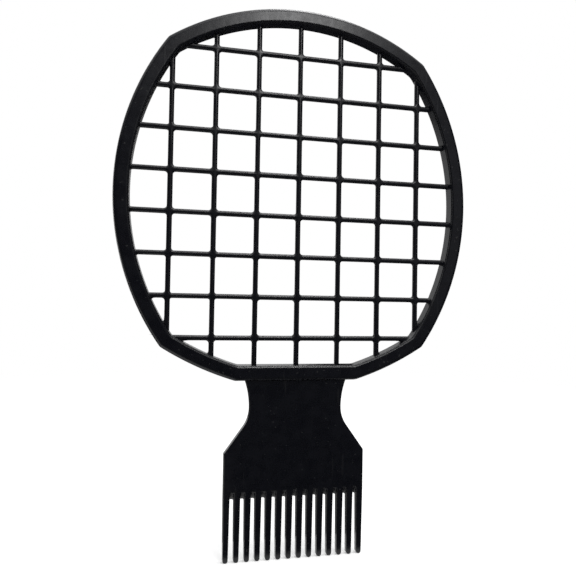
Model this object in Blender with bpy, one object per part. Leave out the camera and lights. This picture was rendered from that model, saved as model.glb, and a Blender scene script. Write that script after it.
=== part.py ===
"""Twist comb: a flat hair tool with a rim, a grid of open cells and a pick of fourteen teeth.

The comb is drawn lying flat, x across, y towards the top of the rim and z towards its face, with
the middle of the grid at the origin. It then stands upright on the tips of its teeth, with its
face towards -Y. All sizes are in metres.
"""
import math

import bmesh
import bpy
from mathutils import Vector

SEAM = 0.0003  # gap between two solids that the moulding runs through

# Rim, given by the outer edge of its flat face
RIM_HALF_WIDTH = 0.07435
RIM_TOP = 0.0777
RIM_BOTTOM = -0.0757
TOP_KINK = (0.0545, 0.0607)
LOWER_KINK = (0.0551, -0.0621)
BOTTOM_CORNER_X = 0.0254
LOWER_BULGE = 0.0011  # how far the lower sides bow out from a straight line
RIM_FACE_WIDTH = 0.0047
RIM_DEPTH = 0.0052
RIM_RIDGE = 0.0008  # how far the outer wall stands out at its parting line
RIM_EDGE = 0.0004

# Grid of bars, with a thin hoop along the inside of the rim
COLUMN_PITCH = 0.0177
ROW_PITCH = 0.0169
BAR_WIDTH = 0.0018
BAR_DEPTH = 0.0018
BAR_CHAMFER = 0.0004
GRID_SET_BACK = 0.0008  # its middle plane lies behind the rim's
HOOP_WIDTH = 0.0010
KINK_FILLET = 0.0050  # inside the hoop, where the rim turns and where a cell's corner is soft
CELL_FILLET = 0.0010
SMALLEST_CELL = 0.0022  # side of a square; a cell with less area than that is left closed

# Pick: a waisted plate with a sloped lower end. Its drops are counted from the rim's lower edge
PLATE_DEPTH = 0.0030
PLATE_STEP = 0.0015  # its face lies behind the rim's
PLATE_EDGE = 0.0004
WAIST_HALF_WIDTH = 0.01935
WAIST_DROP = 0.0118
UPPER_WAIST_RADIUS = 0.033
LOWER_WAIST_RADIUS = 0.013
SHOULDER_HALF_WIDTH = 0.0295
SHOULDER_DROP = 0.0300
SHOULDER_FILLET = 0.0012
PLATE_FRONT_DROP = 0.0452
PLATE_BACK_DROP = 0.0493

# Teeth of the pick, which go on from the sloped end
TEETH = 14
TIP_DROP = 0.0737
TOOTH_ROOT_WIDTH = 0.0026
TOOTH_TIP_WIDTH = 0.0021
TOOTH_TIP_DEPTH = 0.0021
TOOTH_EDGE = 0.0005

# Finish
BLACK = (0.012, 0.012, 0.013)
RIM_ROUGHNESS = 0.38
GRID_ROUGHNESS = 0.42
PICK_ROUGHNESS = 0.36
SMOOTH_ANGLE = math.radians(30)

# How finely round stretches are drawn
SIDE_STEPS = 14
LOWER_SIDE_STEPS = 4
WAIST_STEPS = 5
FILLET_STEPS = 2
EDGE_STEPS = 2
SHARP_TURN = math.radians(20)  # a corner that turns less needs no fillet
SOFT_TURN = math.radians(45)  # a cell's corner that turns less is a soft one
FILLET_SHARE = 0.45  # of the edge beside it that a fillet may take
SHORTEST_EDGE = 0.0002
WELD = 0.000001
FLAT = 0.99  # how upright a face's normal is where the face counts as lying flat
CUT_OVERRUN = 0.0020  # how far a cutter runs past what it cuts


def clear_scene():
    for thing in list(bpy.data.objects):
        bpy.data.objects.remove(thing, do_unlink=True)


def new_collection(name):
    collection = bpy.data.collections.new(name)
    bpy.context.scene.collection.children.link(collection)
    return collection


def black_plastic(name, roughness):
    material = bpy.data.materials.new(name)
    material.use_nodes = True
    shader = material.node_tree.nodes["Principled BSDF"]
    shader.inputs["Base Color"].default_value = (*BLACK, 1)
    shader.inputs["Roughness"].default_value = roughness
    shader.inputs["Metallic"].default_value = 0.0
    return material


def finish(part, stand, roughness):
    """Gives a piece its material, smooth shading between sharp edges, and its place on the stand."""
    part.parent = stand
    part.data.materials.clear()
    part.data.materials.append(black_plastic(part.name, roughness))
    part.data.shade_smooth()
    part.data.set_sharp_from_angle(angle=SMOOTH_ANGLE)


def three_point_arc(start, middle, end, steps):
    """Points on the circle through three points, from start up to but not including end.

    The arc turns by less than half a circle.
    """
    (ax, ay), (bx, by), (cx, cy) = start, middle, end
    double = 2 * (ax * (by - cy) + bx * (cy - ay) + cx * (ay - by))
    a2 = ax * ax + ay * ay
    b2 = bx * bx + by * by
    c2 = cx * cx + cy * cy
    ux = (a2 * (by - cy) + b2 * (cy - ay) + c2 * (ay - by)) / double
    uy = (a2 * (cx - bx) + b2 * (ax - cx) + c2 * (bx - ax)) / double
    first = math.atan2(ay - uy, ax - ux)
    last = math.atan2(cy - uy, cx - ux)
    turn = (last - first + math.pi) % (2 * math.pi) - math.pi
    return arc((ux, uy), math.hypot(ax - ux, ay - uy), first, first + turn, steps)


def arc(centre, radius, first, last, steps):
    """Points on a circle between two angles, without the last one."""
    angles = [first + (last - first) * i / steps for i in range(steps)]
    return [(centre[0] + radius * math.cos(a), centre[1] + radius * math.sin(a)) for a in angles]


def mirrored(points):
    return [(-x, y) for x, y in reversed(points)]


def rim_outline():
    """Outer edge of the rim's face, anticlockwise from its bottom corner on the right."""
    corner = Vector((BOTTOM_CORNER_X, RIM_BOTTOM))
    kink = Vector(LOWER_KINK)
    run = kink - corner
    bowed = (corner + kink) / 2 + Vector((run.y, -run.x)).normalized() * LOWER_BULGE
    side_middle = (RIM_HALF_WIDTH, (TOP_KINK[1] + LOWER_KINK[1]) / 2)
    lower = three_point_arc(corner, bowed, kink, LOWER_SIDE_STEPS)
    side = three_point_arc(LOWER_KINK, side_middle, TOP_KINK, SIDE_STEPS)
    top = three_point_arc(TOP_KINK, (0, RIM_TOP), (-TOP_KINK[0], TOP_KINK[1]), SIDE_STEPS)
    return lower + side + top + mirrored(lower + side + [TOP_KINK])


def inset(points, distance):
    """An anticlockwise outline moved inwards, with its corners mitred."""
    moved = []
    for i, point in enumerate(points):
        here = Vector(point)
        before = (here - Vector(points[i - 1])).normalized()
        after = (Vector(points[(i + 1) % len(points)]) - here).normalized()
        left = Vector((-before.y, before.x)) + Vector((-after.y, after.x))
        moved.append(tuple(here + left * distance / (1 + before.dot(after))))
    return moved


def fillet(before, corner, after, radius, soft_radius=None):
    """Points that round one corner of an outline, or the corner itself where it turns little.

    A soft corner may have a radius of its own.
    """
    here = Vector(corner)
    to_before = Vector(before) - here
    to_after = Vector(after) - here
    turn = math.pi - to_before.angle(to_after)
    if turn < SHARP_TURN:
        return [tuple(here)]
    if soft_radius and turn < SOFT_TURN:
        radius = soft_radius
    longest = FILLET_SHARE * min(to_before.length, to_after.length)
    reach = min(radius * math.tan(turn / 2), longest)
    start = here + to_before.normalized() * reach
    end = here + to_after.normalized() * reach
    middle = (start + end) / 2
    middle += (here - middle).normalized() * reach * math.tan(turn / 4)
    steps = max(2, round(FILLET_STEPS * turn / (math.pi / 2)))
    return three_point_arc(start, middle, end, steps) + [tuple(end)]


def rounded(points, radius, soft_radius=None):
    """A closed outline with its sharp corners rounded."""
    smooth = []
    for i, point in enumerate(points):
        after = points[(i + 1) % len(points)]
        smooth += fillet(points[i - 1], point, after, radius, soft_radius)
    return smooth


def flat_curve(name, outlines, collection):
    """A filled 2D curve with one closed spline for each outline."""
    curve = bpy.data.curves.new(name, "CURVE")
    curve.dimensions = "2D"
    curve.fill_mode = "BOTH"
    for outline in outlines:
        add_spline(curve, outline, closed=True)
    shape = bpy.data.objects.new(name, curve)
    collection.objects.link(shape)
    return shape


def add_spline(curve, points, closed):
    spline = curve.splines.new("POLY")
    spline.points.add(len(points) - 1)
    for place, (x, y) in zip(spline.points, points):
        place.co = (x, y, 0, 1)
    spline.use_cyclic_u = closed


def section_curve(name, points, closed, collection):
    """A section to sweep along an outline: its x points into the outline and its y to the face."""
    curve = bpy.data.curves.new(name, "CURVE")
    curve.dimensions = "2D"
    curve.fill_mode = "NONE"
    add_spline(curve, points, closed)
    shape = bpy.data.objects.new(name, curve)
    collection.objects.link(shape)
    shape.hide_render = True
    return shape


def solid_from_curve(shape, collection):
    """Replaces a curve object with its welded mesh."""
    bpy.context.view_layer.update()
    seen = shape.evaluated_get(bpy.context.evaluated_depsgraph_get())
    mesh = bpy.data.meshes.new_from_object(seen)
    work = bmesh.new()
    work.from_mesh(mesh)
    bmesh.ops.remove_doubles(work, verts=work.verts, dist=WELD)
    bmesh.ops.recalc_face_normals(work, faces=work.faces)
    work.to_mesh(mesh)
    work.free()
    name = shape.name
    place = shape.matrix_world.copy()
    bpy.data.objects.remove(shape, do_unlink=True)
    solid = bpy.data.objects.new(name, mesh)
    solid.matrix_world = place
    collection.objects.link(solid)
    return solid


def cut(part, cutter):
    boolean = part.modifiers.new("cut_" + cutter.name, "BOOLEAN")
    boolean.operation = "DIFFERENCE"
    boolean.solver = "EXACT"
    boolean.object = cutter
    cutter.hide_render = True
    cutter.display_type = "WIRE"


def make_rim(parts, cutters):
    half = RIM_DEPTH / 2
    edge = RIM_EDGE
    outer_wall = [(0, half - edge), (-RIM_RIDGE, 0), (0, edge - half)]
    back = [(edge, -half), (RIM_FACE_WIDTH - edge, -half)]
    inner_wall = [(RIM_FACE_WIDTH, edge - half), (RIM_FACE_WIDTH, half - edge)]
    face = [(RIM_FACE_WIDTH - edge, half), (edge, half)]
    section = section_curve("rim_section", outer_wall + back + inner_wall + face, True, cutters)
    rim = flat_curve("rim", [rim_outline()], parts)
    rim.data.fill_mode = "NONE"
    rim.data.bevel_mode = "OBJECT"
    rim.data.bevel_object = section
    return solid_from_curve(rim, parts)


def ring(work, points, height):
    """A closed loop of edges at one height."""
    corners = [work.verts.new((x, y, height)) for x, y in points]
    return [work.edges.new((corners[i - 1], corner)) for i, corner in enumerate(corners)]


def add_wall(work, points, outwards):
    """Upper half of a wall of the grid, with a chamfer up to its face, and the chamfer's top edges."""
    shoulder = BAR_DEPTH / 2 - BAR_CHAMFER
    foot = ring(work, points, 0)
    middle = ring(work, points, shoulder)
    top = ring(work, inset(points, BAR_CHAMFER * outwards), BAR_DEPTH / 2)
    bmesh.ops.bridge_loops(work, edges=foot + middle)
    bmesh.ops.bridge_loops(work, edges=middle + top)
    return top


def cut_along(work, place, direction, clear=False):
    """Cuts a mesh along a plane, and clears away what lies beyond it if asked."""
    everything = work.verts[:] + work.edges[:] + work.faces[:]
    bmesh.ops.bisect_plane(work, geom=everything, dist=WELD, plane_co=place,
                           plane_no=direction, clear_outer=clear)


def cell_outline(opening, column, row):
    """The part of the opening between four bars, or None where it is too small to be a cell."""
    half = BAR_WIDTH / 2
    work = bmesh.new()
    work.faces.new([work.verts.new((x, y, 0)) for x, y in opening])
    cut_along(work, (column * COLUMN_PITCH + half, 0, 0), (-1, 0, 0), clear=True)
    cut_along(work, ((column + 1) * COLUMN_PITCH - half, 0, 0), (1, 0, 0), clear=True)
    cut_along(work, (0, (row - 0.5) * ROW_PITCH + half, 0), (0, -1, 0), clear=True)
    cut_along(work, (0, (row + 0.5) * ROW_PITCH - half, 0), (0, 1, 0), clear=True)
    bmesh.ops.remove_doubles(work, verts=work.verts, dist=SHORTEST_EDGE)
    outline = None
    for face in work.faces:
        if face.calc_area() > SMALLEST_CELL ** 2:
            outline = [tuple(corner.co.xy) for corner in face.verts]
            if face.normal.z < 0:
                outline.reverse()
    work.free()
    return outline


def cut_into_tiles(work):
    """Cuts the grid's blank along the middle of every bar, and returns the faces in between."""
    columns = math.ceil(RIM_HALF_WIDTH / COLUMN_PITCH)
    rows = math.ceil(max(RIM_TOP, -RIM_BOTTOM) / ROW_PITCH)
    for column in range(-columns, columns + 1):
        cut_along(work, (column * COLUMN_PITCH, 0, 0), (1, 0, 0))
    for row in range(-rows, rows + 1):
        cut_along(work, (0, (row + 0.5) * ROW_PITCH, 0), (0, 1, 0))
    return [face for face in work.faces if abs(face.normal.z) > FLAT]


def open_tile(work, tile, opening):
    """Opens the cell in the middle of a tile, and leaves half a bar or the hoop around it."""
    centre = tile.calc_center_median()
    column = math.floor(centre.x / COLUMN_PITCH)
    row = math.floor(centre.y / ROW_PITCH + 0.5)
    outline = cell_outline(opening, column, row)
    if outline:
        mouth = add_wall(work, rounded(outline, CELL_FILLET, KINK_FILLET), -1)
        bmesh.ops.triangle_fill(work, edges=tile.edges[:] + mouth, use_beauty=True)
        bmesh.ops.delete(work, geom=[tile], context="FACES_ONLY")


def make_grid(parts):
    """One net of bars and hoop: its upper half is a blank opened tile by tile, then mirrored."""
    work = bmesh.new()
    top = add_wall(work, inset(rim_outline(), RIM_FACE_WIDTH + SEAM), 1)
    bmesh.ops.contextual_create(work, geom=top)
    opening = rounded(inset(rim_outline(), RIM_FACE_WIDTH + SEAM + HOOP_WIDTH), KINK_FILLET)
    for tile in cut_into_tiles(work):
        open_tile(work, tile, opening)
    everything = work.verts[:] + work.edges[:] + work.faces[:]
    bmesh.ops.mirror(work, geom=everything, merge_dist=WELD, axis="Z")
    joints = [edge for edge in work.edges if max(abs(end.co.z) for end in edge.verts) < WELD]
    bmesh.ops.dissolve_edges(work, edges=joints, use_verts=True)
    bmesh.ops.recalc_face_normals(work, faces=work.faces)
    mesh = bpy.data.meshes.new("grid")
    work.to_mesh(mesh)
    work.free()
    grid = bpy.data.objects.new("grid", mesh)
    parts.objects.link(grid)
    grid.location.z = -GRID_SET_BACK
    return grid


def chamfer_curve(curve, depth, chamfer):
    """Gives a filled curve its depth, with chamfered edges inside the outline as drawn."""
    curve.extrude = depth / 2 - chamfer
    curve.bevel_depth = chamfer
    curve.bevel_resolution = 0
    curve.offset = -chamfer


def plate_outline():
    """Half of the pick's outline, from the rim down its right side, and its mirror image."""
    top = RIM_BOTTOM - RIM_RIDGE - SEAM
    waist_y = RIM_BOTTOM - WAIST_DROP
    start = math.pi - math.asin((top - waist_y) / UPPER_WAIST_RADIUS)
    upper_centre = (WAIST_HALF_WIDTH + UPPER_WAIST_RADIUS, waist_y)
    upper = arc(upper_centre, UPPER_WAIST_RADIUS, start, math.pi, WAIST_STEPS)
    lower_centre = Vector((WAIST_HALF_WIDTH + LOWER_WAIST_RADIUS, waist_y))
    shoulder = Vector((SHOULDER_HALF_WIDTH, RIM_BOTTOM - SHOULDER_DROP))
    reach = shoulder - lower_centre
    swing = math.acos(LOWER_WAIST_RADIUS / reach.length)
    last = math.atan2(reach.y, reach.x) % (2 * math.pi) - swing
    lower = arc(lower_centre, LOWER_WAIST_RADIUS, math.pi, last, WAIST_STEPS)
    touch = (lower_centre.x + LOWER_WAIST_RADIUS * math.cos(last),
             lower_centre.y + LOWER_WAIST_RADIUS * math.sin(last))
    end = (SHOULDER_HALF_WIDTH, RIM_BOTTOM - PLATE_BACK_DROP - PLATE_DEPTH)
    right = upper + lower + [touch] + fillet(touch, shoulder, end, SHOULDER_FILLET) + [end]
    return mirrored(right) + right


def make_plate(parts, cutters):
    plate = flat_curve("pick_plate", [plate_outline()], parts)
    chamfer_curve(plate.data, PLATE_DEPTH, PLATE_EDGE)
    plate = solid_from_curve(plate, parts)
    slope = flat_curve("plate_end", [end_slope()], cutters)
    slope.data.extrude = SHOULDER_HALF_WIDTH + CUT_OVERRUN
    slope.rotation_euler = (math.radians(90), 0, math.radians(90))
    slope = solid_from_curve(slope, cutters)
    cut(plate, slope)
    for piece in (plate, slope):
        piece.location.z = plate_middle()
    return plate, slope


def plate_middle():
    return RIM_DEPTH / 2 - PLATE_STEP - PLATE_DEPTH / 2


def slope_drop():
    """How much lower the plate's end lies for each metre towards its back."""
    return (PLATE_BACK_DROP - PLATE_FRONT_DROP) / PLATE_DEPTH


def end_slope():
    """Side view of what lies below the plate's sloped end, as (y, z)."""
    middle = RIM_BOTTOM - (PLATE_FRONT_DROP + PLATE_BACK_DROP) / 2
    half = PLATE_DEPTH / 2 + CUT_OVERRUN
    below = RIM_BOTTOM - PLATE_BACK_DROP - PLATE_DEPTH - slope_drop() * CUT_OVERRUN - CUT_OVERRUN
    rise = slope_drop() * half
    return [(middle - rise, -half), (middle + rise, half), (below, half), (below, -half)]


def make_tooth(number, parts):
    """A tapered tooth whose root face is parallel to the plate's sloped end."""
    seam_drop = SEAM * math.hypot(1, slope_drop())
    pitch = (2 * SHOULDER_HALF_WIDTH - TOOTH_ROOT_WIDTH) / (TEETH - 1)
    middle = (number - (TEETH - 1) / 2) * pitch
    work = bmesh.new()
    bmesh.ops.create_cube(work, size=1)
    for corner in work.verts:
        x, y, z = corner.co
        at_root = y > 0
        width = TOOTH_ROOT_WIDTH if at_root else TOOTH_TIP_WIDTH
        depth = PLATE_DEPTH if at_root else TOOTH_TIP_DEPTH
        drop = (PLATE_FRONT_DROP if z > 0 else PLATE_BACK_DROP) + seam_drop if at_root else TIP_DROP
        corner.co = (middle + x * width, RIM_BOTTOM - drop, z * depth)
    root_face = max(work.faces, key=lambda face: face.calc_center_median().y)
    edges = [edge for edge in work.edges if edge not in root_face.edges[:]]
    bmesh.ops.bevel(work, geom=edges, offset=TOOTH_EDGE, offset_type="OFFSET",
                    segments=EDGE_STEPS, profile=0.5, affect="EDGES", material=-1)
    mesh = bpy.data.meshes.new("tooth")
    work.to_mesh(mesh)
    work.free()
    tooth = bpy.data.objects.new(f"tooth_{number + 1:02d}", mesh)
    parts.objects.link(tooth)
    tooth.location.z = plate_middle()
    return tooth


def main():
    clear_scene()
    parts = new_collection("twist_comb")
    cutters = new_collection("cutters")
    stand = bpy.data.objects.new("upright", None)
    parts.objects.link(stand)
    stand.rotation_euler.x = math.radians(90)
    stand.location.z = TIP_DROP - RIM_BOTTOM
    rim = make_rim(parts, cutters)
    grid = make_grid(parts)
    plate, slope = make_plate(parts, cutters)
    teeth = [make_tooth(number, parts) for number in range(TEETH)]
    slope.parent = stand
    finish(rim, stand, RIM_ROUGHNESS)
    finish(grid, stand, GRID_ROUGHNESS)
    finish(plate, stand, PICK_ROUGHNESS)
    for tooth in teeth:
        finish(tooth, stand, PICK_ROUGHNESS)


main()
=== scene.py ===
"""Looks of the twist comb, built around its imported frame.

Every piece is drawn lying flat, in millimetres: x across, y towards the top of the rim and z
towards the face, from the middle of the net. stand_up() then gives it its size and its place.
"""
import math
import random

import bmesh
import bpy
from mathutils import Matrix, Vector


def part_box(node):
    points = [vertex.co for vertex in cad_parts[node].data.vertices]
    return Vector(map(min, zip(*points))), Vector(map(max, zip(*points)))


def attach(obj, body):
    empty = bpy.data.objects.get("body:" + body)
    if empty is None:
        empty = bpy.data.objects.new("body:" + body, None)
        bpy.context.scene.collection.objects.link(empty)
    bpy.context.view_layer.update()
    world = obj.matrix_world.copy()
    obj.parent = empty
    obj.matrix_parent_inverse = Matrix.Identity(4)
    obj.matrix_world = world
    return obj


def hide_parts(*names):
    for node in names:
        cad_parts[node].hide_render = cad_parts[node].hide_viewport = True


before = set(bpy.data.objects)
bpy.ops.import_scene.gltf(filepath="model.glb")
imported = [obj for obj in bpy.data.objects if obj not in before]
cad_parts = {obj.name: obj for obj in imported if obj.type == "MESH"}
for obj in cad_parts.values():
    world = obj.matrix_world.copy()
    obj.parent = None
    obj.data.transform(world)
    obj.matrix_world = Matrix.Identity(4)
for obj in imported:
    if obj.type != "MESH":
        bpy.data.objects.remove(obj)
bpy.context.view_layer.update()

MM = 0.001
OVERLAP = 1.0  # how far a piece runs on inside its neighbour, so that no seam shows
WELD = 0.002  # points closer together than this are one

# Rim, drawn along the ridge where its two halves meet
RIM_LOW, RIM_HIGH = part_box("rim")
RIM_HALF_WIDTH = RIM_HIGH.x / MM
RIM_HALF_DEPTH = (RIM_HIGH.y - RIM_LOW.y) / 2 / MM
RIM_TOP = 78.5
RIM_BOTTOM = -76.5
MIDDLE_HEIGHT = RIM_HIGH.z / MM - RIM_TOP
TOP_KINK = (55.075, 61.284)
LOWER_KINK = (55.671, -62.693)
BOTTOM_CORNER = (25.533, RIM_BOTTOM)
LOWER_BULGE = 1.1  # how far the lower sides bow out from a straight line
RIDGE = 0.65  # how far the ridge stands out from the borders of the face
RIM_FACE_WIDTH = 5.25
OUTER_EDGE = 1.3
INNER_EDGE = 0.55
LEDGE_DROP = 0.9  # from the face to the narrow ledge inside the rim
LEDGE_WIDTH = 0.3
LEDGE_EDGE = 0.15
WALL_DRAFT = 0.4  # how much further in the wall stands at the back than under the ledge
KINK_ROUNDING = 0.6
EDGE_BAND = 0.3  # beside an edge, where its lighter colour (partly wear, partly painted highlight) fades out

# Net of bars
COLUMN_PITCH = 17.7
ROW_PITCH = 16.9
BAR_HALF_WIDTH = 1.05
BAR_HALF_DEPTH = 1.05
BAR_EDGE = 0.9
NET_SET_BACK = 0.8
HOOP_WIDTH = 0.05  # the hoop that carries the bars lies hidden in the wall of the rim
CELL_FILLET = 0.9
SOFT_FILLET = 5.0  # where the hoop turns, and where a cell's corner is a soft one
FILLET_WANDER = (-0.25, 0.35)
BAR_WANDER = 0.07
SMALLEST_CELL = 2.0  # side of a square; a cell with less area than that is left closed
SHORTEST_EDGE = 0.3  # of a cell, before its corners are rounded
NET_SEED = 5  # for what wanders in the net

# Pick: a waisted plate, with its teeth
PLATE_LOW, PLATE_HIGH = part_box("pick_plate")
PLATE_HALF_DEPTH = (PLATE_HIGH.y - PLATE_LOW.y) / 2 / MM
PLATE_SET_BACK = (PLATE_HIGH.y + PLATE_LOW.y) / 2 / MM
PLATE_HALF_WIDTH = PLATE_HIGH.x / MM
PICK_EDGE = 0.3
WAIST = (19.35, -87.5)
UPPER_WAIST_RADIUS = 33.0
LOWER_WAIST_RADIUS = 13.0
SHOULDER_HEIGHT = -105.7
SHOULDER_FILLET = 1.2
GULLET = -122.95
GULLET_SLOPE = 1.25  # how far a gullet falls for each millimetre from the face to the back
GULLET_FILLET = 0.5
GULLET_REACH = 1.8  # how far above and below a gullet the slope is felt
TEETH = 14
TOOTH_ROOT = 1.35  # half its width, as at the tip
TOOTH_TIP = 1.08
TOOTH_PITCH = 2 * (PLATE_HALF_WIDTH - TOOTH_ROOT) / (TEETH - 1)
TIP_THINNING = 0.8
TIPS = -MIDDLE_HEIGHT

# How many flats each arc and rounding is made of
SIDE_STEPS = 42
LOWER_SIDE_STEPS = 14
HALF_TOP_STEPS = 21
OUTER_EDGE_STEPS = 4
INNER_EDGE_STEPS = 3
LEDGE_STEPS = 3
KINK_STEPS = 4
BAR_EDGE_STEPS = 5
HOOP_STEPS = 5
CELL_STEPS = 6
PICK_EDGE_STEPS = 4
TOOTH_STEPS = 4
SHOULDER_STEPS = 5
WAIST_STEPS = 12

# Corners and edges
SHARP_TURN = math.radians(15)  # a corner that turns less needs no fillet
SOFT_TURN = math.radians(45)  # a cell's corner that turns less is a soft one
FAINT_TURN = math.radians(3.2)  # a cell's corner that turns less is left out
FILLET_SHARE = 0.45  # of the edge beside it that a fillet may take
CRISP = math.radians(40)  # faces that meet at more than this aren't shaded as one
EDGE_SPREAD = math.radians(12)  # between the faces at a point that lies fully on an edge

# From lying flat to standing on the tips of the teeth
STAND = Matrix.Translation((0, 0, MIDDLE_HEIGHT * MM)) @ Matrix.Rotation(math.radians(90), 4, "X")
UP = (0, 0, 1)

# Photograph
CAMERA_PLACE = (-0.0595, -0.2421, 0.10425)
CAMERA_TURN = (91.5915, -0.9735, -12.9313)
CAMERA_LENS = 37.347

# Finish: its colours, the scale and detail of its patterns, and the values of a pattern between
# which a mark fades in
DEEP_BLACK = (0.0024, 0.0027, 0.005, 1)
PALE_BLACK = (0.0036, 0.004, 0.0066, 1)
# lighter colour of the edges: partly wear, partly a painted highlight along them
EDGE_WEAR_AND_HIGHLIGHT_GREY = (0.0045, 0.0048, 0.0065, 1)
DUST_GREY = (0.03, 0.03, 0.03, 1)
CLOUD = (240.0, 3.0)
GRAIN = (700.0, 2.0)
SPECKS = (900.0, 0.0)
HAIR = (1.0, 1.0)
LONG_WAY = {"Location": (31, 17, 5), "Rotation": (0, 0.5, 0), "Scale": (700, 700, 40)}
TINT_BAND = (0.3, 0.7)
# cloud values between which the edges' wear and painted highlight fade in
EDGE_WEAR_AND_HIGHLIGHT_BAND = (0.35, 0.65)
HAIR_BAND = (0.7, 0.76)
SPECK_BAND = (0.78, 0.82)
# least share of the edges' wear and painted highlight, where the cloud is low
LEAST_EDGE_WEAR_AND_HIGHLIGHT = 0.45
HAIR_DUST = 0.1
SPECK_DUST = 0.5
ROUGHNESS = 0.2
CLOUD_ROUGHNESS = 0.09
GRAIN_ROUGHNESS = 0.06
HAIR_ROUGHNESS = 0.05
GRAIN_HEIGHT = 0.2  # for a cloud's height of 1
BUMPS = {"Strength": 0.3, "Distance": 0.0001}
IOR = 1.45

# Light
WORLD_LIGHT = 0.7
LIGHTS = (  # name, place, the point that it faces, side and watts
    ("key_light", (0.262, -1.13, 0.8), (0, 0, 0.2), 0.12, 2.0),
    ("front_light", (0.19, -0.81, 1.2), (0, 0, 0.2), 0.5, 3.0),
    ("low_light", (0.65, -1.12, 0.33), (0, 0, 0.15), 0.5, 0.2),
    ("top_light", (0.27, -0.05, 1.3), (0, 0, 0.2), 0.35, 9.0),
)

# Floor, and the cards that shade it for the gloss
FLOOR_REACH = 20.0
FLOOR_PALE = (0.82, 0.82, 0.82, 1)
FLOOR_LIFT = 0.28
FLOOR_FADE = (0.15, 0.7)  # from the comb, where the floor begins to go white and where it is
CARD_FOOT = 0.0003  # a card that lies on the floor reaches from here
CARD_FACE = 0.0005  # to here
DARK = 0.01
DIM = 0.25
CARDS = (  # name, one corner, the corner across, and shade
    ("near_floor_card", (-0.034, -0.1, CARD_FOOT), (1.6, -0.005, CARD_FACE), DARK),
    ("front_floor_card", (-1.6, -1.6, CARD_FOOT), (1.6, -0.1, CARD_FACE), DARK),
    ("right_floor_card", (0.12, -0.0007, CARD_FOOT), (1.6, 1.6, CARD_FACE), DARK),
    ("close_floor_card", (-0.3, 0.02, CARD_FOOT), (0.12, 0.16, CARD_FACE), DIM),
    ("back_floor_card", (-1.0, 0.16, CARD_FOOT), (0.12, 1.2, CARD_FACE), DARK),
    ("front_card", (-1.6, -1.62, 0), (1.6, -1.6, 1.5), DARK),
    ("right_card", (1.6, -1.6, 0), (1.62, 1.2, 1.5), DARK),
    ("left_card", (-1.62, -1.6, 0), (-1.6, 1.0, 1.2), DARK),
    ("far_card", (0.42, 1.5, 0), (1.6, 1.52, 1.5), DARK),
)


def everything(work):
    return work.verts[:] + work.edges[:] + work.faces[:]


def of_kind(kind, items):
    return [item for item in items if isinstance(item, kind)]


def circle_centre(a, b, c):
    """Centre of the circle through three points."""
    (ax, ay), (bx, by), (cx, cy) = a, b, c
    double = 2 * (ax * (by - cy) + bx * (cy - ay) + cx * (ay - by))
    a2 = ax * ax + ay * ay
    b2 = bx * bx + by * by
    c2 = cx * cx + cy * cy
    x = (a2 * (by - cy) + b2 * (cy - ay) + c2 * (ay - by)) / double
    y = (a2 * (cx - bx) + b2 * (ax - cx) + c2 * (bx - ax)) / double
    return Vector((x, y, 0))


def spin_to(work, vert, centre, end, steps):
    """Spins a vertex about a centre, the short way round, to face an end point."""
    first = math.atan2(vert.co.y - centre[1], vert.co.x - centre[0])
    last = math.atan2(end[1] - centre[1], end[0] - centre[0])
    turn = (last - first + math.pi) % (2 * math.pi) - math.pi
    made = bmesh.ops.spin(work, geom=[vert], cent=(*centre[:2], 0), axis=UP, angle=turn,
                          steps=steps)
    return of_kind(bmesh.types.BMVert, made["geom_last"])[0]


def draw_arc(work, vert, middle, end, steps):
    return spin_to(work, vert, circle_centre(vert.co.xy, middle, end), end, steps)


def draw_line(work, start, end):
    vert = work.verts.new((end[0], end[1], 0))
    work.edges.new((start, vert))
    return vert


def close_outline(work):
    """Mirrors half an outline, which starts and ends on the middle line, and fills it."""
    bmesh.ops.mirror(work, geom=work.verts[:] + work.edges[:], axis="X", merge_dist=WELD)
    face = bmesh.ops.contextual_create(work, geom=work.edges[:])["faces"][0]
    if face.normal.z < 0:
        face.normal_flip()
    return face


def draw_rim_outline(work):
    """The rim's outline along its ridge, as one face."""
    corner, kink = Vector(BOTTOM_CORNER), Vector(LOWER_KINK)
    along = kink - corner
    bowed = (corner + kink) / 2 + Vector((along.y, -along.x)).normalized() * LOWER_BULGE
    side = (RIM_HALF_WIDTH, (TOP_KINK[1] + LOWER_KINK[1]) / 2)
    vert = draw_line(work, work.verts.new((0, RIM_BOTTOM, 0)), BOTTOM_CORNER)
    vert = draw_arc(work, vert, bowed, kink, LOWER_SIDE_STEPS)
    vert = draw_arc(work, vert, side, TOP_KINK, SIDE_STEPS)
    top = circle_centre((-TOP_KINK[0], TOP_KINK[1]), (0, RIM_TOP), TOP_KINK)
    spin_to(work, vert, top, (0, RIM_TOP), HALF_TOP_STEPS)
    return close_outline(work)


def draw_teeth(work, vert):
    """The outline of half the teeth, from the middle line to the root of the outermost."""
    root = GULLET - GULLET_FILLET
    round_from = TIPS + TOOTH_TIP
    for tooth in range(TEETH // 2):
        middle = (tooth + 0.5) * TOOTH_PITCH
        left, right = middle - TOOTH_ROOT, middle + TOOTH_ROOT
        vert = draw_line(work, vert, (left - GULLET_FILLET, GULLET))
        vert = spin_to(work, vert, (left - GULLET_FILLET, root), (left, root), TOOTH_STEPS)
        vert = draw_line(work, vert, (middle - TOOTH_TIP, round_from))
        round_tip = (middle, round_from)
        vert = spin_to(work, vert, round_tip, (middle, TIPS), TOOTH_STEPS)
        vert = spin_to(work, vert, round_tip, (middle + TOOTH_TIP, round_from), TOOTH_STEPS)
        vert = draw_line(work, vert, (right, root))
        if tooth < TEETH // 2 - 1:  # the outermost tooth has no gullet beyond it
            gullet = right + GULLET_FILLET
            vert = spin_to(work, vert, (gullet, root), (gullet, GULLET), TOOTH_STEPS)
    return vert


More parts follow.
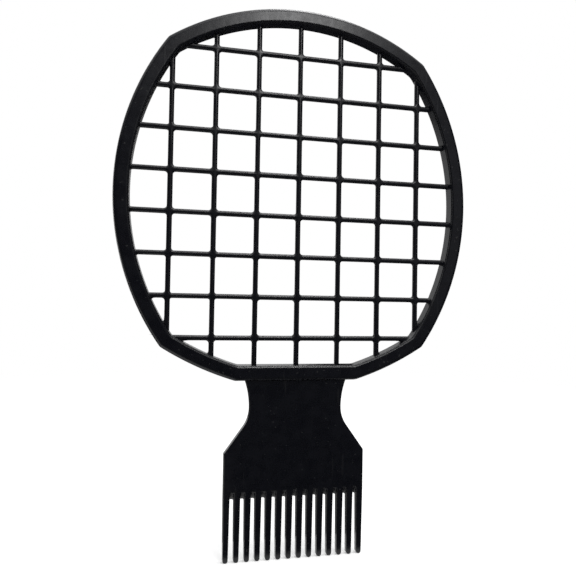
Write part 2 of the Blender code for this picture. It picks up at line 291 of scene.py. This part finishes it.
def draw_waist(work, vert):
    """Half the outline from the outermost tooth to inside the rim: shoulder, slope and waist."""
    shoulder = Vector((PLATE_HALF_WIDTH, SHOULDER_HEIGHT))
    lower = Vector((WAIST[0] + LOWER_WAIST_RADIUS, WAIST[1]))
    reach = shoulder - lower
    swing = math.atan2(reach.y, reach.x) - math.acos(LOWER_WAIST_RADIUS / reach.length)
    touch = lower + LOWER_WAIST_RADIUS * Vector((math.cos(swing), math.sin(swing)))
    slope = (touch - shoulder).normalized()
    cut_back = SHOULDER_FILLET * math.tan(slope.angle(Vector((0, 1))) / 2)
    vert = draw_line(work, vert, shoulder - Vector((0, cut_back)))
    rounding_middle = shoulder - Vector((SHOULDER_FILLET, cut_back))
    vert = spin_to(work, vert, rounding_middle, shoulder + slope * cut_back, SHOULDER_STEPS)
    vert = draw_line(work, vert, touch)
    vert = spin_to(work, vert, lower, WAIST, WAIST_STEPS)
    upper = Vector((WAIST[0] + UPPER_WAIST_RADIUS, WAIST[1]))
    top = RIM_BOTTOM + RIDGE + OVERLAP
    lift = math.asin((top - upper.y) / UPPER_WAIST_RADIUS)
    end = upper + UPPER_WAIST_RADIUS * Vector((-math.cos(lift), math.sin(lift)))
    vert = spin_to(work, vert, upper, end, WAIST_STEPS)
    draw_line(work, vert, (0, top))


def draw_pick_outline(work):
    """The outline of the plate and all its teeth, as one face."""
    vert = draw_teeth(work, work.verts.new((0, GULLET, 0)))
    draw_waist(work, vert)
    return close_outline(work)


def rounding(radius, steps, falling=False):
    """Steps in and up, along a quarter circle from a wall to a face or from a face to a wall."""
    angles = [math.pi / 2 * i / steps for i in range(steps + 1)]
    walk = []
    for low, high in zip(angles, angles[1:]):
        across = radius * (math.cos(low) - math.cos(high))
        along = radius * (math.sin(high) - math.sin(low))
        walk.append((along, -across) if falling else (across, along))
    return walk


def turned_over(walk):
    return [(across, -up) for across, up in walk]


def broad_flat(width):
    """A flat stretch of a walk, with a line close to each of its borders."""
    return [(EDGE_BAND, 0.0), (width - 2 * EDGE_BAND, 0.0), (EDGE_BAND, 0.0)]


def follow(work, faces, walk):
    """Insets and raises faces, each by itself, step by step along a walk."""
    for across, up in walk:
        bmesh.ops.inset_individual(work, faces=faces, thickness=across, depth=up,
                                   use_even_offset=True)


def turn_at(corner):
    """How far an outline turns at one corner of a face."""
    before = corner.vert.co - corner.link_loop_prev.vert.co
    after = corner.link_loop_next.vert.co - corner.vert.co
    return before.angle(after)


def sharp_verts(face):
    return [corner.vert for corner in face.loops if turn_at(corner) > SHARP_TURN]


def fillet_corners(work, face, radius, steps):
    """Rounds a face's sharp corners, more widely at a soft one, as far as its edges allow."""
    reaches = []
    for corner in face.loops:
        turn = turn_at(corner)
        if turn > SHARP_TURN:
            shortest = min(edge.calc_length() for edge in corner.vert.link_edges)
            wanted = SOFT_FILLET if turn < SOFT_TURN else radius
            reach = min(wanted * math.tan(turn / 2), FILLET_SHARE * shortest)
            reaches.append((corner.vert, reach))
    for vert, reach in reaches:
        bmesh.ops.bevel(work, geom=[vert], offset=reach, offset_type="OFFSET", segments=steps,
                        profile=0.5, affect="VERTICES", material=-1)


def cut(work, place, direction, clear=False):
    """Cuts along a plane, and clears what lies beyond it on the side that it faces."""
    bmesh.ops.bisect_plane(work, geom=everything(work), dist=WELD, plane_co=place,
                           plane_no=direction, clear_outer=clear)


def part_off(work, place, direction):
    """Takes off what lies beyond a plane, and closes the piece there."""
    cut(work, place, direction, clear=True)
    bmesh.ops.holes_fill(work, edges=work.edges, sides=0)


def mirror_depth(work):
    """Adds the other half of a piece whose open edges lie in its middle plane."""
    bmesh.ops.mirror(work, geom=everything(work), axis="Z", merge_dist=WELD)
    bmesh.ops.recalc_face_normals(work, faces=work.faces)


def note_edges(work):
    """Keeps, for each vertex, how much of an edge it lies on, for the finish to read."""
    if "edge" in work.verts.layers.float:  # noted before the piece was parted from a larger one
        return
    layer = work.verts.layers.float.new("edge")
    work.normal_update()
    for vert in work.verts:
        spreads = (vert.normal.angle(face.normal, 0.0) for face in vert.link_faces)
        vert[layer] = min(1.0, max(spreads, default=0.0) / EDGE_SPREAD)


def add_object(work, name, finish):
    """Puts a finished mesh into the scene, at the origin."""
    mesh = bpy.data.meshes.new(name)
    work.to_mesh(mesh)
    work.free()
    mesh.materials.append(finish)
    added = bpy.data.objects.new(name, mesh)
    bpy.context.scene.collection.objects.link(added)
    return added


def stand_up(work, name, nodes, finish, depth=0.0):
    """Makes a drawn piece real: its size, its place, its finish and the nodes it stands for."""
    bmesh.ops.translate(work, verts=work.verts, vec=(0, 0, depth))
    bmesh.ops.scale(work, verts=work.verts, vec=(MM, MM, MM))
    bmesh.ops.transform(work, matrix=STAND, verts=work.verts)
    note_edges(work)
    piece = add_object(work, name, finish)
    piece.data.shade_smooth()
    piece.data.set_sharp_from_angle(angle=CRISP)
    even = piece.modifiers.new("even_faces", "WEIGHTED_NORMAL")
    even.keep_sharp = True
    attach(piece, "root")
    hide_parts(*nodes)


def step_in(work, face, walk, kinks):
    """Takes a face along a walk, notes its sharp corners on the way, and leaves it open."""
    kinks.update(sharp_verts(face))
    for step in walk:
        follow(work, [face], [step])
        kinks.update(sharp_verts(face))
    bmesh.ops.delete(work, geom=[face], context="FACES_ONLY")


def make_rim(finish):
    """The rim: its front is stepped in from the ridge down to the back, and its back closes it."""
    work = bmesh.new()
    front = draw_rim_outline(work)
    doubled = bmesh.ops.duplicate(work, geom=[front])["geom"]
    back = of_kind(bmesh.types.BMFace, doubled)[0]
    # The first third of the outer edge's rounding belongs to the ridge, and the rest to the face.
    outside = [(RIDGE - OUTER_EDGE / 3, RIM_HALF_DEPTH - OUTER_EDGE)]
    outside += rounding(OUTER_EDGE, OUTER_EDGE_STEPS)
    flat = RIM_FACE_WIDTH - OUTER_EDGE * 2 / 3 - INNER_EDGE
    inside = rounding(INNER_EDGE, INNER_EDGE_STEPS, falling=True)
    ledge = [(0.0, INNER_EDGE + LEDGE_EDGE - LEDGE_DROP)]
    ledge += turned_over(rounding(LEDGE_EDGE, LEDGE_STEPS))
    ledge += [(LEDGE_WIDTH - 2 * LEDGE_EDGE, 0.0)]
    ledge += rounding(LEDGE_EDGE, LEDGE_STEPS, falling=True)
    wall = [(WALL_DRAFT, LEDGE_DROP + LEDGE_EDGE + INNER_EDGE - 2 * RIM_HALF_DEPTH)]
    kinks = set()
    step_in(work, front, outside + broad_flat(flat) + inside + ledge + wall, kinks)
    closing = outside + broad_flat(flat + LEDGE_WIDTH + WALL_DRAFT) + inside
    step_in(work, back, turned_over(closing), kinks)
    kink_lines = [edge for edge in work.edges if kinks.issuperset(edge.verts)]
    bmesh.ops.bevel(work, geom=kink_lines, offset=KINK_ROUNDING, offset_type="OFFSET",
                    segments=KINK_STEPS, profile=0.5, affect="EDGES", material=-1)
    bmesh.ops.remove_doubles(work, verts=work.verts, dist=WELD * 2)
    bmesh.ops.recalc_face_normals(work, faces=work.faces)
    stand_up(work, "rim_moulding", ["rim"], finish)


def inner_outline(work, inset):
    """The rim's outline moved in, as one face."""
    face = draw_rim_outline(work)
    follow(work, [face], [(inset, 0.0)])
    bmesh.ops.delete(work, geom=[f for f in work.faces if f is not face], context="FACES")
    return face


def only_face(work):
    work.faces.ensure_lookup_table()
    return work.faces[0]


def cell_mouth(middle, chance):
    """Outline of the wide mouth of the cell in one tile, or None where it is too small."""
    flat = BAR_HALF_WIDTH - BAR_EDGE  # half the width of the flat on a bar
    column = math.floor(middle.x / COLUMN_PITCH)
    row = math.floor(middle.y / ROW_PITCH + 0.5)
    left, right, low, high = (flat + chance.uniform(-BAR_WANDER, BAR_WANDER) for _ in range(4))
    radius = CELL_FILLET + BAR_EDGE + chance.uniform(*FILLET_WANDER)
    work = bmesh.new()
    face = inner_outline(work, RIDGE + RIM_FACE_WIDTH + HOOP_WIDTH - BAR_EDGE)
    fillet_corners(work, face, SOFT_FILLET, HOOP_STEPS)
    cut(work, (column * COLUMN_PITCH + left, 0, 0), (-1, 0, 0), clear=True)
    cut(work, ((column + 1) * COLUMN_PITCH - right, 0, 0), (1, 0, 0), clear=True)
    cut(work, (0, (row - 0.5) * ROW_PITCH + low, 0), (0, -1, 0), clear=True)
    cut(work, (0, (row + 0.5) * ROW_PITCH - high, 0), (0, 1, 0), clear=True)
    bmesh.ops.remove_doubles(work, verts=work.verts, dist=SHORTEST_EDGE)
    length = sum(edge.calc_length() for edge in work.edges)
    area = sum(cell.calc_area() for cell in work.faces)
    outline = None
    if area - length * BAR_EDGE > SMALLEST_CELL ** 2:
        faint = [corner.vert for corner in only_face(work).loops if turn_at(corner) < FAINT_TURN]
        bmesh.ops.dissolve_verts(work, verts=faint)
        fillet_corners(work, only_face(work), radius, CELL_STEPS)
        outline = [vert.co.xy for vert in only_face(work).verts]
    work.free()
    return outline


def make_net(finish):
    """The net: a blank cut into tiles along its bars, with a rounded cell let into each."""
    chance = random.Random(NET_SEED)
    work = bmesh.new()
    inner_outline(work, RIDGE + RIM_FACE_WIDTH - OVERLAP)
    bmesh.ops.translate(work, verts=work.verts, vec=(0, 0, BAR_HALF_DEPTH))
    columns = math.ceil(RIM_HALF_WIDTH / COLUMN_PITCH)
    rows = math.ceil(RIM_TOP / ROW_PITCH)
    for column in range(-columns, columns + 1):
        cut(work, (column * COLUMN_PITCH, 0, 0), (1, 0, 0))
    for row in range(-rows, rows + 1):
        cut(work, (0, (row + 0.5) * ROW_PITCH, 0), (0, 1, 0))
    border = [edge for edge in work.edges if len(edge.link_faces) == 1]
    mouths = []
    for tile in work.faces[:]:
        outline = cell_mouth(tile.calc_center_median(), chance)
        if outline:
            mouth = work.faces.new([work.verts.new((x, y, BAR_HALF_DEPTH)) for x, y in outline])
            edges = tile.edges[:] + mouth.edges[:]
            bmesh.ops.triangle_fill(work, edges=edges, use_beauty=True)
            bmesh.ops.delete(work, geom=[tile], context="FACES_ONLY")
            mouths.append(mouth)
    follow(work, mouths, rounding(BAR_EDGE, BAR_EDGE_STEPS, falling=True))
    follow(work, mouths, [(0.0, BAR_EDGE - BAR_HALF_DEPTH)])
    bmesh.ops.delete(work, geom=mouths, context="FACES_ONLY")
    down = bmesh.ops.extrude_edge_only(work, edges=border)["geom"]
    foot = of_kind(bmesh.types.BMVert, down)
    bmesh.ops.translate(work, verts=foot, vec=(0, 0, -BAR_HALF_DEPTH))
    mirror_depth(work)
    stand_up(work, "net_moulding", ["grid"], finish, -NET_SET_BACK)


def slope_gullets(work):
    """Slants what is near the gullets down towards the back."""
    for vert in work.verts:
        if abs(vert.co.y - GULLET) < GULLET_REACH:
            vert.co.y += GULLET_SLOPE * vert.co.z


def thin_tip(work):
    """Thins a tooth evenly from below the reach of its gullet to its tip."""
    for vert in work.verts:
        if vert.co.y < GULLET - 2 * GULLET_REACH:
            vert.co.z *= TIP_THINNING


def make_pick(finish):
    """The pick: one rounded moulding, parted above the gullets into the plate and its teeth."""
    whole = bmesh.new()
    face = draw_pick_outline(whole)
    walk = [(0.0, PLATE_HALF_DEPTH - PICK_EDGE)] + rounding(PICK_EDGE, PICK_EDGE_STEPS)
    follow(whole, [face], walk + [(EDGE_BAND / 2, 0.0)])
    mirror_depth(whole)
    note_edges(whole)
    parting = GULLET + 2 * PICK_EDGE
    plate = whole.copy()
    part_off(plate, (0, parting, 0), (0, -1, 0))
    slope_gullets(plate)
    stand_up(plate, "plate_moulding", ["pick_plate"], finish, -PLATE_SET_BACK)
    part_off(whole, (0, parting, 0), (0, 1, 0))
    for number in range(TEETH):
        left = (number - TEETH / 2) * TOOTH_PITCH
        tooth = whole.copy()
        part_off(tooth, (left, 0, 0), (-1, 0, 0))
        part_off(tooth, (left + TOOTH_PITCH, 0, 0), (1, 0, 0))
        cut(tooth, (0, GULLET - GULLET_FILLET, 0), (0, 1, 0))
        slope_gullets(tooth)
        thin_tip(tooth)
        node = f"tooth_{number + 1:02d}"
        stand_up(tooth, node + "_moulding", [node], finish, -PLATE_SET_BACK)
    whole.free()


class Signal:
    """A socket of a node tree: sums written on it add their Math nodes."""

    def __init__(self, tree, socket=None):
        self.tree = tree
        self.socket = socket

    def node(self, kind, settings, sockets, output=0):
        """Adds a node, makes its settings first and then gives its sockets values or links."""
        node = self.tree.nodes.new(kind)
        for name, value in settings.items():
            setattr(node, name, value)
        for name, value in sockets.items():
            if isinstance(value, Signal):
                self.tree.links.new(value.socket, node.inputs[name])
            else:
                node.inputs[name].default_value = value
        return Signal(self.tree, node.outputs[output])

    def feed(self, node, name):
        """Links this value to a socket of a node that the tree has from the start."""
        self.tree.links.new(self.socket, self.tree.nodes[node].inputs[name])

    def maths(self, operation, *values):
        return self.node("ShaderNodeMath", {"operation": operation}, dict(enumerate(values)))

    def __add__(self, other):
        return self.maths("ADD", self, other)

    def __mul__(self, other):
        return self.maths("MULTIPLY", self, other)

    __radd__ = __add__
    __rmul__ = __mul__

    def noise(self, place, scale, detail):
        sockets = {"Vector": place, "Scale": scale, "Detail": detail}
        return self.node("ShaderNodeTexNoise", {}, sockets)

    def ease(self, low, high):
        """0 below one value, 1 above another, and smooth between them."""
        sockets = {"Value": self, "From Min": low, "From Max": high}
        return self.node("ShaderNodeMapRange", {"interpolation_type": "SMOOTHSTEP"}, sockets)

    def blend(self, first, second):
        """Mixes two colours by this value."""
        # A Mix node has its sockets once for each type of data, and these are the ones for colour.
        sockets = {0: self, 6: first, 7: second}
        return self.node("ShaderNodeMix", {"data_type": "RGBA"}, sockets, 2)


def new_finish(name):
    """A new material, and a signal to begin its nodes from."""
    material = bpy.data.materials.new(name)
    material.use_nodes = True
    return material, Signal(material.node_tree)


def satin_black(name):
    """Black plastic as it leaves a mould: satin, faintly mottled, and lighter along its edges,
    partly from wear and partly as a painted highlight.
    """
    material, paint = new_finish(name)
    place = paint.node("ShaderNodeTexCoord", {}, {}, "Object")
    edge_share = paint.node("ShaderNodeAttribute", {"attribute_name": "edge"}, {}, "Fac")
    cloud = paint.noise(place, *CLOUD)
    grain = paint.noise(place, *GRAIN)
    drawn_out = paint.node("ShaderNodeMapping", {}, {"Vector": place, **LONG_WAY})
    hair = paint.noise(drawn_out, *HAIR).ease(*HAIR_BAND)
    speck = paint.noise(place, *SPECKS).ease(*SPECK_BAND)
    # Edges are lightened towards a grey: partly wear, partly a painted highlight.
    wear_and_highlight = edge_share * (LEAST_EDGE_WEAR_AND_HIGHLIGHT + (1 - LEAST_EDGE_WEAR_AND_HIGHLIGHT) * cloud.ease(*EDGE_WEAR_AND_HIGHLIGHT_BAND))
    colour = cloud.ease(*TINT_BAND).blend(DEEP_BLACK, PALE_BLACK)
    colour = wear_and_highlight.blend(colour, EDGE_WEAR_AND_HIGHLIGHT_GREY)
    colour = (hair * HAIR_DUST).blend(colour, DUST_GREY)
    colour = (speck * SPECK_DUST).blend(colour, DUST_GREY)
    roughness = ROUGHNESS + CLOUD_ROUGHNESS * cloud + GRAIN_ROUGHNESS * grain
    roughness = roughness + HAIR_ROUGHNESS * hair
    skin = grain * GRAIN_HEIGHT + cloud
    colour.feed("Principled BSDF", "Base Color")
    roughness.feed("Principled BSDF", "Roughness")
    paint.node("ShaderNodeBump", {}, {"Height": skin, **BUMPS}).feed("Principled BSDF", "Normal")
    material.node_tree.nodes["Principled BSDF"].inputs["IOR"].default_value = IOR
    return material


def seen_directly(paint):
    """1 where the camera sees a surface, also in a mirror or through glass, and 0 elsewhere."""
    seen = paint.node("ShaderNodeLightPath", {}, {}, "Is Camera Ray")
    glossy = paint.node("ShaderNodeLightPath", {}, {}, "Is Glossy Ray")
    through = paint.node("ShaderNodeLightPath", {}, {}, "Is Transmission Ray")
    both = seen.maths("MAXIMUM", seen, glossy)
    return both.maths("MAXIMUM", both, through)


def light_world():
    """White where it is seen, and a plain level where it lights the comb."""
    world = bpy.data.worlds.new("studio")
    world.use_nodes = True
    strength = seen_directly(Signal(world.node_tree)) * (1 - WORLD_LIGHT) + WORLD_LIGHT
    strength.feed("Background", "Strength")
    world.node_tree.nodes["Background"].inputs["Color"].default_value = (1, 1, 1, 1)
    bpy.context.scene.world = world


def lay_floor():
    """A pale floor that keeps the comb's shadow and goes white away from it."""
    material, paint = new_finish("pale_floor")
    place = paint.node("ShaderNodeTexCoord", {}, {}, "Object")
    away = paint.node("ShaderNodeVectorMath", {"operation": "LENGTH"}, {0: place}, "Value")
    white = paint.node("ShaderNodeEmission", {}, {"Strength": 1.0})
    lit = paint.node("ShaderNodeBsdfDiffuse", {}, {"Color": FLOOR_PALE})
    lift = paint.node("ShaderNodeEmission", {}, {"Strength": FLOOR_LIFT})
    raised = paint.node("ShaderNodeAddShader", {}, {0: lit, 1: lift})
    glossy = paint.node("ShaderNodeLightPath", {}, {}, "Is Glossy Ray")
    far = away.maths("MAXIMUM", away.ease(*FLOOR_FADE), glossy)
    faded = paint.node("ShaderNodeMixShader", {}, {0: far, 1: raised, 2: white})
    shown = paint.node("ShaderNodeMixShader", {}, {0: seen_directly(paint), 1: lit, 2: faded})
    shown.feed("Material Output", "Surface")
    work = bmesh.new()
    bmesh.ops.create_grid(work, x_segments=1, y_segments=1, size=FLOOR_REACH)
    floor = add_object(work, "floor", material)


def lay_cards():
    """Cards seen only in gloss: they darken what the comb mirrors, but for the white behind it."""
    for name, low, high, shade in CARDS:
        paper, paint = new_finish(name)
        flat = paint.node("ShaderNodeBsdfDiffuse", {}, {"Color": (shade, shade, shade, 1)})
        flat.feed("Material Output", "Surface")
        low, high = Vector(low), Vector(high)
        work = bmesh.new()
        bmesh.ops.create_cube(work, size=1.0)
        bmesh.ops.scale(work, verts=work.verts, vec=high - low)
        bmesh.ops.translate(work, verts=work.verts, vec=(low + high) / 2)
        card = add_object(work, name, paper)
        card.visible_camera = False
        card.visible_diffuse = False
        card.visible_shadow = False
        card.visible_transmission = False


def set_camera():
    camera = bpy.data.cameras.new("camera")
    camera.lens = CAMERA_LENS
    stand = bpy.data.objects.new("camera", camera)
    stand.location = CAMERA_PLACE
    stand.rotation_euler = [math.radians(turn) for turn in CAMERA_TURN]
    bpy.context.scene.collection.objects.link(stand)
    bpy.context.scene.camera = stand


def hang_light(name, place, aim, side, watts):
    """A square soft light that faces a point and isn't seen itself."""
    light = bpy.data.lights.new(name, "AREA")
    light.size = side
    light.energy = watts
    stand = bpy.data.objects.new(name, light)
    stand.visible_camera = False
    stand.location = place
    stand.rotation_euler = (Vector(aim) - Vector(place)).to_track_quat("-Z", "Y").to_euler()
    bpy.context.scene.collection.objects.link(stand)


def main():
    bpy.context.scene.view_settings.view_transform = "Standard"
    set_camera()
    light_world()
    lay_floor()
    lay_cards()
    for light in LIGHTS:
        hang_light(*light)
    black = satin_black("black_plastic")
    make_rim(black)
    make_net(black)
    make_pick(black)


main()
